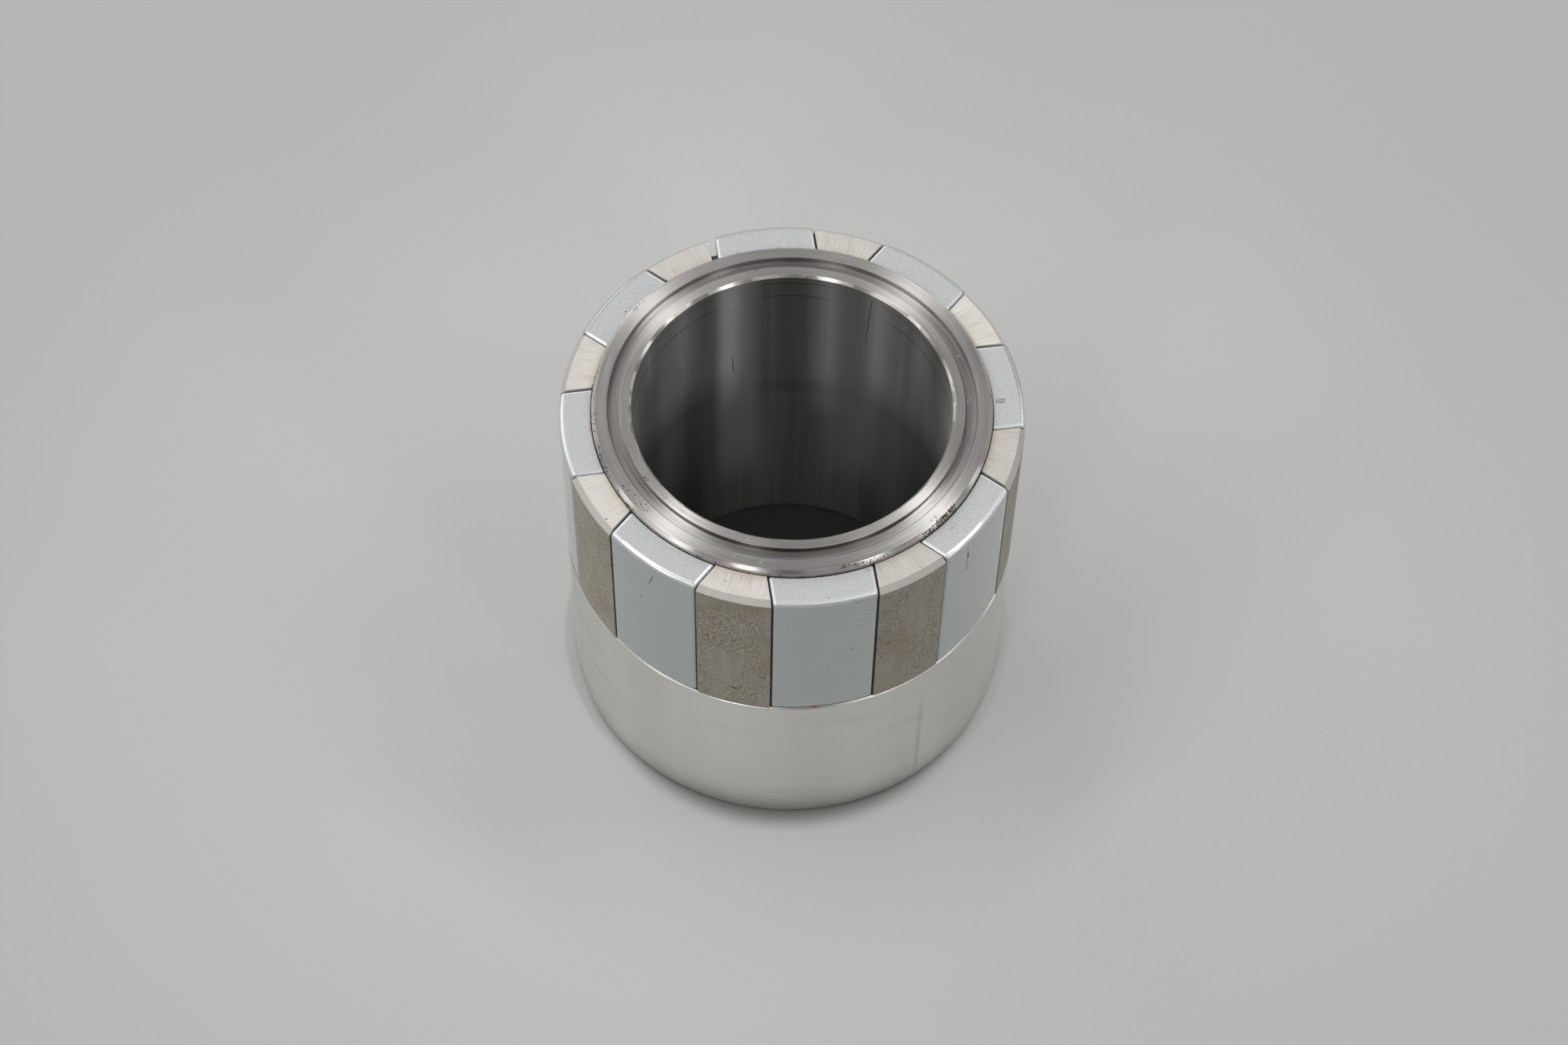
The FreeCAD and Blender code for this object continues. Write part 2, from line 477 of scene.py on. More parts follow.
def turned_steel(colours, sizes):
    """Steel with tool lines round the axis, so its gloss fans out across them.

    The lines are noise across radius and height, stretched far along the direction. The radius is
    scaled a little so that the bore doesn't fall on a plane of the noise's lattice.
    """
    finish = Finish("turned_steel")
    top, bore_r = sizes.hub_height, sizes.bore_radius
    groove_inner = bore_r + (LEAD_IN_RELIEF + BORE_CHAMFER + INNER_LAND) * MM
    groove_outer = sizes.sleeve_radius - (FACE_CHAMFER + OUTER_LAND) * MM
    radius, height, direction = finish.polar()
    along = finish.times(direction, 0.0006)
    across = finish.joined(finish.times(radius, 0.983), height, along)
    lines = finish.noise(5200.0, 3.0, roughness=0.6, at=across)
    bands = finish.noise(900.0, 2.0, at=across)
    cuts = finish.noise(4200.0, 1.0, at=across)
    clouds = finish.noise(90.0, 3.0)
    grime = finish.ramp(finish.noise(260.0, 4.0), 0.60, 0.80)
    steel = tuple(colours.steel)
    colour = finish.blend(lines, scaled(steel, 0.88), scaled(steel, 1.10))
    colour = finish.cover(
        colour,
        (finish.ramp(clouds, 0.3, 0.7, 0.0, 0.25), scaled(steel, 0.86)),
        (finish.ramp(cuts, 0.60, 0.66, 0.0, 0.4), scaled(steel, 0.62)),
        (finish.ramp(cuts, 0.40, 0.34, 0.0, 0.4), scaled(steel, 1.30)),
        (finish.times(grime, 0.12), scaled(steel, 0.55)))

    # painted shade in the groove: on its inner wall at the front, a brown line along its inner
    # wall, and a painted shade line along its outer wall
    across_x, front, _ = finish.split()
    below_rim = finish.ramp(height, top - 0.00003, top - 0.00008)
    front_groove_shade = finish.times(finish.near(radius, groove_inner + 0.00001, 0.00009), below_rim)
    front_groove_shade = finish.times(front_groove_shade, finish.ramp(front, -0.004, -0.018, 0.0, 0.9))
    inner_line = finish.times(finish.near(radius, groove_inner + 0.00006, 0.00011), 0.4)
    groove_shade_line = finish.times(finish.near(radius, groove_outer + 0.00002, 0.00013), 0.7)
    colour = finish.cover(
        colour,
        (front_groove_shade, scaled(steel, 0.10)),
        (inner_line, (0.20, 0.16, 0.12)),
        (groove_shade_line, scaled(steel, 0.20)))

    # the bore's chamfer: painted glints, bright sectors that stand in for reflections of the
    # lamps, with darker steel between
    sector = finish.noise(640.0, at=finish.joined(finish.times(direction, 0.01), height, 0.0))
    painted_glint = finish.blend(finish.ramp(sector, 0.44, 0.56), (0.39, 0.355, 0.31), (0.92, 0.885, 0.83))
    on_chamfer = finish.near(radius, bore_r + 0.00020, 0.00022)
    colour = finish.blend(finish.times(on_chamfer, 0.8), colour, painted_glint)

    # the bore: greyer, with faint painted reflection streaks down it, two dark rings near its
    # mouth and a soft ring of painted shade below
    in_bore = finish.times(finish.ramp(radius, bore_r + 0.00016, bore_r + 0.00010),
                           finish.ramp(height, top - 0.00028, top - 0.00034))
    bore = tuple(colours.bore)
    down = finish.joined(finish.times(direction, 0.02), finish.times(height, 0.04), 0.0)
    # painted reflection: faint streaks down the bore
    streaks = finish.noise(520.0, 3.0, roughness=0.6, at=down)
    wall = finish.blend(finish.ramp(streaks, 0.35, 0.65), scaled(bore, 0.90), scaled(bore, 1.10))
    wall = finish.blend(finish.ramp(lines, 0.52, 0.68, 0.0, 0.3), wall, scaled(bore, 0.80))
    rings = finish.plus(finish.near(height, top - 0.0014, 0.00016),
                        finish.near(height, top - LEAD_IN_DEPTH * MM, 0.00020), clamp=True)
    wall = finish.blend(finish.times(rings, 0.6), wall, scaled(bore, 0.35))
    # painted shade: a soft darker ring low in the bore
    painted_shade_ring = finish.times(finish.near(height, 0.0290, 0.0020), 0.3)
    wall = finish.blend(painted_shade_ring, wall, scaled(bore, 0.5))

    # two painted light streaks down its far side, which stand in for reflections and end above its
    # foot, and painted shade deep down to the left and right
    for angle, half, share in ((1.95, 0.20, 0.9), (1.14, 0.30, 0.5)):
        streak = finish.times(finish.near(direction, angle, half),
                              finish.ramp(height, 0.006, 0.017, 0.0, share))
        wall = finish.blend(streak, wall, scaled(bore, 1.7))
    side_shade_mask = finish.plus(finish.ramp(across_x, -0.0085, -0.0135, 0.0, 0.75),
                        finish.ramp(across_x, 0.0085, 0.0125, 0.0, 0.55))
    # painted shade deep in the bore, to the left and right
    deep = finish.times(side_shade_mask, finish.ramp(height, 0.0370, 0.0285))
    wall = finish.blend(deep, wall, scaled(bore, 0.40))
    colour = finish.blend(in_bore, colour, wall)
    on_face = finish.math("SUBTRACT", 1.0, in_bore)
    spread = finish.plus(finish.ramp(bands, 0.2, 0.8, -0.03, 0.03), finish.times(grime, 0.05))
    rough = finish.plus(finish.times(spread, on_face), 0.30)
    finish.set(base_color=colour, roughness=rough, metallic=1.0, anisotropic=1.0,
               anisotropic_rotation=0.25)
    tangent = finish.node("ShaderNodeTangent", direction_type="RADIAL", axis="Z")
    finish.feed(finish.shader.inputs["Tangent"], tangent.outputs[0])
    finish.bump(finish.times(lines, on_face), distance=0.000006)
    return finish.material


def satin_steel(colours):
    """Fine satin steel of the collar, with faint soft smudges that lie level."""
    finish = Finish("satin_steel")
    radius, height, direction = finish.polar()
    steel = tuple(colours.collar)
    level = finish.stretched(finish.object, (0.22, 0.22, 1.0))
    smudge = finish.noise(300.0, 3.0, at=level)
    zones = finish.noise(75.0, at=finish.stretched(finish.object, (1.0, 1.0, 0.12)))
    lines = finish.noise(
        6500.0, at=finish.joined(radius, height, finish.times(direction, 0.001)))
    colour = finish.blend(lines, scaled(steel, 0.97), scaled(steel, 1.04))
    colour = finish.cover(
        colour,
        (finish.ramp(zones, 0.35, 0.65, 0.0, 0.6), scaled(steel, 0.88)),
        (finish.ramp(smudge, 0.56, 0.74, 0.0, 0.4), scaled(steel, 0.82)))
    upright = finish.times(finish.near(direction, -0.925, 0.018),
                           finish.near(height, 0.0100, 0.0130))
    colour = finish.blend(finish.times(upright, 0.4), colour, scaled(steel, 0.62))
    finish.set(
        base_color=colour, roughness=finish.ramp(smudge, 0.3, 0.7, 0.32, 0.38), metallic=1.0)
    finish.bump(lines, distance=0.000004)
    return finish.material


def plating(colours, sizes):
    """Bright blue-grey plating with a fine speckle and dark pits; its ends are painted lighter
    and more neutral than its sides, a painted difference in light on one plating.

    It is darker in patches round its foot, and the rim of its end is painted darker on the far
    side, a painted shade that dulls the highlight there.
    """
    finish = Finish("plating")
    foot, top, ease = sizes.shoulder, sizes.magnet_top, sizes.plated_ease
    base, end = tuple(colours.plating), tuple(colours.plated_end_painted_lighter)
    radius, height, _ = finish.polar()
    _, front, _ = finish.split()
    speckle = finish.noise(5600.0, 2.0, roughness=0.6)
    clouds = finish.noise(220.0, 3.0)
    tint = finish.noise(130.0, 2.0, distortion=0.6)
    pits = finish.ramp(finish.noise(1500.0, 1.0), 0.80, 0.82)
    side = finish.blend(finish.ramp(speckle, 0.35, 0.65), scaled(base, 0.96), scaled(base, 1.04))
    side = finish.blend(finish.ramp(clouds, 0.3, 0.7, 0.0, 0.35), side, scaled(base, 1.08))
    flat = finish.blend(finish.ramp(speckle, 0.45, 0.75), scaled(end, 0.98), scaled(end, 1.08))
    pink = (end[0] * 1.07, end[1] * 0.97, end[2] * 1.01)
    flat = finish.blend(finish.ramp(tint, 0.55, 0.75, 0.0, 0.5), flat, pink)
    # painted light: the end takes the lighter colour, the sides the darker one
    colour = finish.blend(finish.ramp(height, top - ease, top - 0.2 * ease), side, flat)
    # painted shade on the rim of the end, on the far side only, to dull its highlight there
    far_rim_shade = finish.times(finish.near(radius, sizes.outer_radius - 0.00046, 0.00036),
                       finish.ramp(front, -0.002, 0.006, 0.0, 0.5))
    far_rim_shade = finish.times(far_rim_shade, finish.ramp(height, top - 0.0005, top - 0.0003))
    colour = finish.cover(
        colour,
        (far_rim_shade, (0.0, 0.0, 0.0)),
        (finish.times(pits, 0.5), (0.05, 0.05, 0.05)))
    # darker in patches along the foot
    patch = finish.ramp(finish.noise(430.0, 3.0), 0.42, 0.56, 0.25, 0.95)
    foot_darkening = finish.times(finish.ramp(height, foot + 0.00062, foot + 0.00042), patch)
    colour = finish.blend(foot_darkening, colour, (0.030, 0.026, 0.022))
    finish.set(base_color=colour, roughness=finish.ramp(speckle, 0.25, 0.75, 0.26, 0.32),
               metallic=0.25, coat_weight=1.0, coat_roughness=0.045, coat_ior=2.1)
    finish.bump(speckle, distance=0.0000025)
    return finish.material


def sintered(colours, sizes, number, end_shade, side_shade):
    """Bare sintered alloy: gritty outside with smoother grey streaks, ground on its end."""
    finish = Finish(f"sintered_magnet_{number}")
    sleeve, top, bevel = sizes.sleeve_radius, sizes.magnet_top, sizes.bare_bevel
    grit, ground = scaled(colours.grit, side_shade), scaled(colours.ground, end_shade)
    radius, height, direction = finish.polar()

    # outside: grains in patches, and smoother grey where it has been rubbed
    grain = finish.noise(4600.0, 2.0, roughness=0.7)
    contrast = finish.ramp(grain, 0.36, 0.64)
    cloud = finish.noise(
        240.0, 3.0, 0.6, at=finish.stretched(finish.object, (1.0, 1.0, 0.45)))
    streak = finish.noise(1300.0, 3.0, at=finish.stretched(finish.object, (1.0, 1.0, 0.06)))
    stain = finish.noise(190.0, 3.0)
    gritty = finish.blend(contrast, scaled(grit, 0.44), scaled(grit, 1.56))
    rubbed = finish.blend(contrast, scaled(grit, 0.78), scaled(grit, 1.26))
    grey = (grit[0] * 1.14, grit[1] * 1.20, grit[2] * 1.32)
    rubbed = finish.blend(finish.ramp(streak, 0.40, 0.64, 0.0, 0.85), rubbed, grey)
    side = finish.blend(finish.ramp(cloud, 0.44, 0.62), gritty, rubbed)
    brown = (grit[0] * 0.78, grit[1] * 0.70, grit[2] * 0.58)
    side = finish.blend(finish.ramp(stain, 0.48, 0.72, 0.0, 0.45), side, brown)

    # end: fine straight grinding strokes, fainter in places, yellowed towards the sleeve
    arc = finish.times(direction, 0.027)
    out = finish.times(radius, 0.03)
    strokes = finish.noise(8500.0, 2.0, 0.6, at=finish.joined(arc, out, 0.0))
    scores = finish.noise(3300.0, 1.0, at=finish.joined(arc, out, 0.5))
    worn = finish.ramp(finish.noise(420.0, 3.0), 0.38, 0.62, 0.35, 1.0)
    end = finish.blend(
        finish.ramp(strokes, 0.32, 0.68), scaled(ground, 0.89), scaled(ground, 1.09))
    dark_score = finish.times(finish.ramp(scores, 0.60, 0.68, 0.0, 0.55), worn)
    light_score = finish.times(finish.ramp(scores, 0.40, 0.32, 0.0, 0.55), worn)
    end = finish.cover(
        end,
        (dark_score, scaled(ground, 0.68)),
        (light_score, scaled(ground, 1.18)))
    mottle = finish.ramp(finish.noise(900.0, 3.0), 0.45, 0.7, 0.0, 0.3)
    end = finish.blend(mottle, end, scaled(ground, 0.88))
    yellow = (ground[0] * 0.92, ground[1] * 0.84, ground[2] * 0.66)
    inward = finish.ramp(radius, sleeve + 0.0009, sleeve + 0.0002, 0.0, 0.6)
    end = finish.blend(inward, end, yellow)
    on_bevel = finish.ramp(height, top, top - 0.00006)
    end = finish.blend(finish.times(on_bevel, 0.7), end, scaled(ground, 0.74))
    below = finish.ramp(height, top - bevel, top - bevel - 0.00008)
    colour = finish.blend(below, end, side)
    finish.set(base_color=colour, roughness=finish.ramp(grain, 0.2, 0.8, 0.42, 0.58),
               metallic=0.25)
    texture = finish.plus(finish.times(grain, below), finish.times(scores, 0.2))
    finish.bump(texture, distance=0.00004)
    return finish.material


def adhesive(colours):
    """Cured dark adhesive with a dull skin."""
    finish = Finish("adhesive")
    skin = finish.noise(1400.0, 3.0)
    base = tuple(colours.adhesive)
    finish.set(base_color=finish.blend(skin, scaled(base, 0.6), scaled(base, 1.8)),
               roughness=finish.ramp(skin, 0.2, 0.8, 0.35, 0.6))
    finish.bump(skin, distance=0.00005)
    return finish.material


def crumb_material(colours):
    """Brown-black crumbs of old adhesive."""
    finish = Finish("adhesive_crumbs")
    skin = finish.noise(2600.0, 2.0)
    base = tuple(colours.crumb)
    finish.set(base_color=finish.blend(skin, scaled(base, 0.4), scaled(base, 2.2)), roughness=0.55)
    return finish.material


def table_material(colours):
    """A plain pale table, with painted shade far from the rotor and within its bore, and a painted
    shadow close before and beside its foot.
    """
    finish = Finish("table")
    base = tuple(colours.table)
    cloud = finish.noise(12.0, 1.0)
    radius, _, _ = finish.polar()
    x, front, _ = finish.split()
    contact_shadow_reach = finish.plus(radius, finish.times(front, 0.15))
    colour = finish.blend(cloud, scaled(base, 1.07), scaled(base, 1.09))
    # painted shade that darkens the table away from the rotor, and a painted contact shadow before
    # its foot
    colour = finish.cover(
        colour,
        (finish.ramp(radius, 0.030, 0.150), scaled(base, 0.88)),
        (finish.ramp(contact_shadow_reach, 0.0277, 0.0248, 0.0, 0.64), (0, 0, 0)))
    # a painted shadow beside the foot, stronger on the left than the right
    beside = finish.times(finish.near(radius, 0.0297, 0.0012), finish.ramp(front, -0.022, -0.015))
    beside = finish.times(beside, finish.ramp(x, -0.01, 0.01, 0.17, 0.08))
    colour = finish.cover(
        colour,
        (beside, (0, 0, 0)),
        # painted shade on the table within the bore
        (finish.ramp(radius, 0.0204, 0.0200), scaled(base, 0.135)))
    finish.set(base_color=colour, roughness=0.6, specular_ior_level=0.3)
    return finish.material


# Pieces

class BuildsPiece:
    """What the operators of this panel share."""

    bl_options = {"REGISTER", "UNDO"}

    def finish(self, piece, slot, *nodes):
        """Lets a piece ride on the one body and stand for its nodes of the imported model."""
        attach(piece, "root")
        if nodes:
            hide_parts(*nodes)


class ROTOR_OT_hub(BuildsPiece, bpy.types.Operator):
    """Turn the hub: sleeve, collar, bore and grooved end face"""

    bl_idname = "rotor.hub"
    bl_label = "Hub"

    def execute(self, context):
        sizes, colours = context.scene.rotor_sizes, context.scene.rotor_colours
        mm = Millimetres(sizes)
        top, shoulder = mm.hub_height, mm.shoulder
        collar, sleeve, bore = mm.outer_radius, mm.sleeve_radius, mm.bore_radius
        floor = top - mm.groove_depth
        lead_in, step = bore + LEAD_IN_RELIEF, top - LEAD_IN_DEPTH
        groove_inner = lead_in + BORE_CHAMFER + INNER_LAND
        groove_outer = sleeve - FACE_CHAMFER - OUTER_LAND
        corners = [
            # corner, radius of its arc, guard
            (collar - BASE_CHAMFER, 0.0, 0.08, 0.03),
            (bore + BORE_CHAMFER, 0.0, 0.08, 0.03),
            (bore, BORE_CHAMFER, 0.05, 0.03),
            (bore, step, 0.006, 0.03), (lead_in, step + LEAD_IN_RELIEF, 0.006, 0.03),
            (lead_in, top - BORE_CHAMFER, 0.05, 0.03), (lead_in + BORE_CHAMFER, top, 0.04, 0.03),
            (groove_inner, top, 0.05, 0.02), (groove_inner, floor, 0.05, 0.02),
            (groove_outer, floor, 0.05, 0.02), (groove_outer, top, 0.05, 0.02),
            (sleeve - FACE_CHAMFER, top, 0.04, 0.03), (sleeve, top - FACE_CHAMFER, 0.04, 0.03),
            (sleeve, shoulder, 0.03, 0.02),
            (collar - RIM_CHAMFER, shoulder, 0.04, 0.02),
            (collar, shoulder - RIM_CHAMFER, 0.04, 0.02),
            (collar, BASE_CHAMFER, 0.12, 0.03),
        ]
        table = np.array(corners)
        section = eased_section(table[:, :2], table[:, 2], table[:, 3])
        hub = add_piece(
            "hub_turned", [surface(revolved(section, 720), closed_path=True)],
            turned_steel(colours, sizes), satin_steel(colours))
        middles = np.zeros(3 * len(hub.data.polygons))
        hub.data.polygons.foreach_get("center", middles)
        x, y, z = middles.reshape(-1, 3).T / MM
        on_collar = (np.hypot(x, y) > sleeve + 0.2) & (z < shoulder + 0.1)
        hub.data.polygons.foreach_set("material_index", on_collar.astype(int))
        self.finish(hub, "turned_steel", "rotor_hub")
        return {"FINISHED"}


class ROTOR_OT_plated_magnets(BuildsPiece, bpy.types.Operator):
    """Set the plated magnets, with rounded edges all round"""

    bl_idname = "rotor.plated_magnets"
    bl_label = "Plated magnets"

    def execute(self, context):
        sizes, colours = context.scene.rotor_sizes, context.scene.rotor_colours
        material = plating(colours, sizes)
        _, directions = magnet_layout(sizes)
        mm = Millimetres(sizes)
        inner_r, outer_r = mm.sleeve_radius + mm.film, mm.outer_radius
        bottom, top, ease = mm.shoulder, mm.magnet_top, mm.plated_ease
        arc = np.radians(np.linspace(0, 90, 11))
        heights = np.concatenate([
            bottom + ease * (1 - np.sin(arc[::-1])),
            np.linspace(bottom + ease, top - ease, 26)[1:-1],
            top - ease + ease * np.sin(arc)])
        side_ease, back_ease = 0.42, 0.25
        side_inset = rounding(heights, bottom, top, side_ease)
        loops = block_loops(
            heights, 0.0, mm.plated_width / 2, inner_r, outer_r,
            np.maximum(side_ease - side_inset, 0.03), 0.15, side_inset,
            rounding(heights, bottom, top, ease), rounding(heights, bottom, top, back_ease))
        rows, start, end = capped(loops, ((inner_r + outer_r) / 2, 0.0))
        for number, direction in enumerate(directions, 1):
            swell = ripple(rows + 40.0 * number, 9.0, seed=100 + number)
            body = worn_body(rows, start, end, swell, 0.008, direction)
            piece = add_piece(f"plated_magnet_{number}_body", [body], material)
            self.finish(piece, "plating", f"plated_magnet_{number}")
        return {"FINISHED"}


# How light the end and the side of each bare magnet are
BARE_SHADES = (
    (0.89, 1.0), (1.07, 1.0), (0.86, 0.95), (0.88, 0.87),
    (1.0, 0.93), (1.03, 1.05), (0.98, 1.0), (0.90, 1.0),
)


class ROTOR_OT_bare_magnets(BuildsPiece, bpy.types.Operator):
    """Set the bare keystone magnets between the plated ones"""

    bl_idname = "rotor.bare_magnets"
    bl_label = "Bare magnets"

    def execute(self, context):
        sizes, colours = context.scene.rotor_sizes, context.scene.rotor_colours
        pitch, directions = magnet_layout(sizes)
        mm = Millimetres(sizes)
        inner_r, outer_r = mm.sleeve_radius + mm.film, mm.outer_radius
        offset = -(mm.plated_width / 2 + mm.seam)
        bottom, top, bevel, ease = mm.shoulder, mm.magnet_top, mm.bare_bevel, 0.07
        arc = np.radians(np.linspace(0, 90, 5))
        heights = np.concatenate([
            bottom + ease * (1 - np.sin(arc[::-1])),
            np.linspace(bottom + ease, top - bevel - 0.1, 30)[1:],
            top - bevel + np.array([-0.05, -0.02, 0.0, 0.02, 0.05, 0.12, 0.35, 0.55]),
            top - ease + ease * np.sin(arc)])
        inset = rounding(heights, bottom, top, ease)
        into = heights - (top - bevel)
        outer_inset = np.maximum((into + np.sqrt(into ** 2 + 0.03 ** 2)) / 2, inset)
        loops = block_loops(
            heights, pitch / 2, offset, inner_r, outer_r, 0.08, 0.06,
            inset, outer_inset, inset)
        rows, start, end = capped(loops, ((inner_r + outer_r) / 2, 0.0))
        for number, direction in enumerate(directions, 1):
            worn = ripple(rows + 31.0 * number, 2.2, seed=300 + number, octaves=4)
            body = worn_body(rows, start, end, worn, 0.012, direction - pitch / 2)
            material = sintered(colours, sizes, number, *BARE_SHADES[number - 1])
            piece = add_piece(f"bare_magnet_{number}_body", [body], material)
            self.finish(piece, "sintered_magnet", f"bare_magnet_{number}")
        return {"FINISHED"}


class ROTOR_OT_adhesive(BuildsPiece, bpy.types.Operator):
    """Fill the joints between the magnets and the film behind them with adhesive"""

    bl_idname = "rotor.adhesive"
    bl_label = "Adhesive"

    def joint(self, direction, offset, half, reach, fill, bottom, seed):
        """A strip of adhesive along a joint, over its top and down its outside.

        A closed section, hollow on its free side, is carried along a path that runs outwards at
        the height of the fill, turns through a quarter circle and drops to the shoulder. The depth
        of the fill wanders a little along the path. The joint runs at an offset n beside the axis,
        so a radius r is reached at sqrt(r^2 - n^2) along it.
        """
        bend = 0.8
        quarter = np.radians(np.linspace(90, 0, 9))
        start, reach = np.sqrt(np.array([25.02, reach]) ** 2 - offset ** 2)
        along = np.concatenate([
            np.linspace(start, reach - bend, 24)[:-1], reach - bend + bend * np.cos(quarter),
            np.full(60, reach)])
        height = np.concatenate([
            np.full(23, fill), fill - bend + bend * np.sin(quarter),
            np.linspace(fill - bend, bottom, 61)[1:]])
        normal_t = np.concatenate([np.zeros(23), np.cos(quarter), np.ones(60)])
        normal_z = np.concatenate([np.ones(23), np.sin(quarter), np.zeros(60)])
        across = np.array([-1.0, -0.6, 0.0, 0.6, 1.0, 1.0, 0.0, -1.0]) * half
        depth = np.array([0.0, -0.05, -0.08, -0.05, 0.0, -0.9, -0.9, -0.9])
        spine = np.stack([along, np.full_like(along, offset), height], axis=-1)
        wander = 0.07 * ripple(spine, 2.6, seed, octaves=4)
        free = (depth > -0.5)[None, :]
        deep = depth[None, :] + np.where(free, wander[:, None], 0.0)
        t = along[:, None] + normal_t[:, None] * deep
        z = np.maximum(height[:, None] + normal_z[:, None] * deep, bottom)
        n = offset + across[None, :] + 0 * t
        return closed_ends(placed(np.stack([t, n, z], axis=-1), direction))

    def execute(self, context):
        mm, colours = Millimetres(context.scene.rotor_sizes), context.scene.rotor_colours
        _, directions = magnet_layout(mm)
        sleeve, bottom, top = mm.sleeve_radius, mm.shoulder, mm.magnet_top
        seam, gap, beside = mm.seam, mm.open_seam, mm.plated_width / 2
        below = 0.42
        face = mm.outer_radius - below
        strips = []
        for number, direction in enumerate(directions):
            for side in (-1, 1):
                seed = 500 + 2 * number + side
                if number == 0 and side == 1:
                    strips.append(self.joint(
                        direction, beside + gap / 2, gap / 2 + 0.01, sleeve + 1.7, top - 0.35,
                        bottom, seed))
                else:
                    strips.append(self.joint(
                        direction, side * (beside + seam / 2), seam / 2 + 0.02, face, top - below,
                        bottom, seed))
        angle = np.linspace(0, 2 * np.pi, 720, endpoint=False)
        ring = np.stack([30 * np.cos(angle), 30 * np.sin(angle), 0 * angle], axis=-1)
        film_top = top - 0.12 + 0.09 * ripple(ring, 3.0, seed=41, octaves=5)
        flat = 0 * angle
        inner, outer = sleeve - 0.02 + flat, sleeve + mm.film + 0.03 + flat
        film = [(outer, bottom + flat), (outer, film_top - 0.12), ((inner + outer) / 2, film_top),
                (inner, film_top + 0.05), (inner, bottom + flat)]
        foot_r = face + 0.12 * ripple(ring, 2.4, seed=43, octaves=4)
        foot = [(foot_r, bottom + flat), (foot_r, bottom + 0.18 + flat),
                (foot_r - 0.4, bottom + 0.3 + flat), (foot_r - 0.4, bottom + flat)]
        for section in (film, foot):
            rows = np.stack([
                np.stack([radius * np.cos(angle), radius * np.sin(angle), height], axis=-1)
                for radius, height in section])
            strips.append(surface(rows, closed_path=True))
        piece = add_piece("adhesive_joints", strips, adhesive(colours))
        self.finish(piece, "adhesive", "adhesive_bond")
        return {"FINISHED"}


# Crumbs of adhesive on the end face: directions and radii between which they lie, how many there
# are, and their size
CRUMBS = (
    (-175.0, -163.0, 24.4, 25.0, 26, 0.12),
    (-161.0, -150.0, 24.8, 25.1, 22, 0.12),
    (-148.0, -136.0, 23.3, 24.4, 44, 0.13),
    (-148.0, -140.0, 24.9, 25.1, 26, 0.14),
    (-147.5, -144.5, 21.1, 21.5, 12, 0.12),
    (-138.5, -135.5, 20.9, 21.3, 8, 0.10),
    (-131.0, -127.0, 20.9, 21.2, 7, 0.09),
    (-119.0, -112.0, 24.0, 24.9, 8, 0.08),
    (-76.0, -72.5, 24.6, 24.95, 44, 0.10),
    (-72.0, -61.0, 24.72, 25.05, 150, 0.10),
    (-49.5, -43.0, 24.75, 25.08, 120, 0.12),
    (-44.0, -36.0, 24.6, 25.1, 230, 0.12),
    (-45.0, -41.0, 23.8, 24.4, 20, 0.10),
    (-60.5, -56.0, 24.0, 24.8, 6, 0.08),
    (-4.0, 5.0, 24.7, 25.1, 16, 0.11),
    (19.0, 38.0, 24.9, 25.1, 16, 0.10),
    (141.0, 146.0, 24.3, 24.9, 18, 0.13),
    (152.0, 158.0, 24.5, 25.0, 8, 0.10),
    (168.0, 181.0, 24.6, 25.1, 24, 0.12),
    (-180.0, 180.0, 23.1, 24.5, 30, 0.06),
    (-180.0, 180.0, 25.0, 25.12, 90, 0.12),
)


def end_face_height(radius, mm):
    """Height of the turned end face at a radius, from its lands, groove and chamfers."""
    top, floor, sleeve = mm.hub_height, mm.hub_height - mm.groove_depth, mm.sleeve_radius
    lead_in = mm.bore_radius + LEAD_IN_RELIEF
    groove_inner = lead_in + BORE_CHAMFER + INNER_LAND
    groove_outer = sleeve - FACE_CHAMFER - OUTER_LAND
    return np.interp(
        radius,
        [lead_in, lead_in + BORE_CHAMFER, groove_inner - 0.01, groove_inner + 0.01,
         groove_outer - 0.01, groove_outer + 0.01, sleeve - FACE_CHAMFER, sleeve, sleeve + 0.12],
        [top - BORE_CHAMFER, top, top, floor, floor, top, top, top - FACE_CHAMFER, top - 0.95])


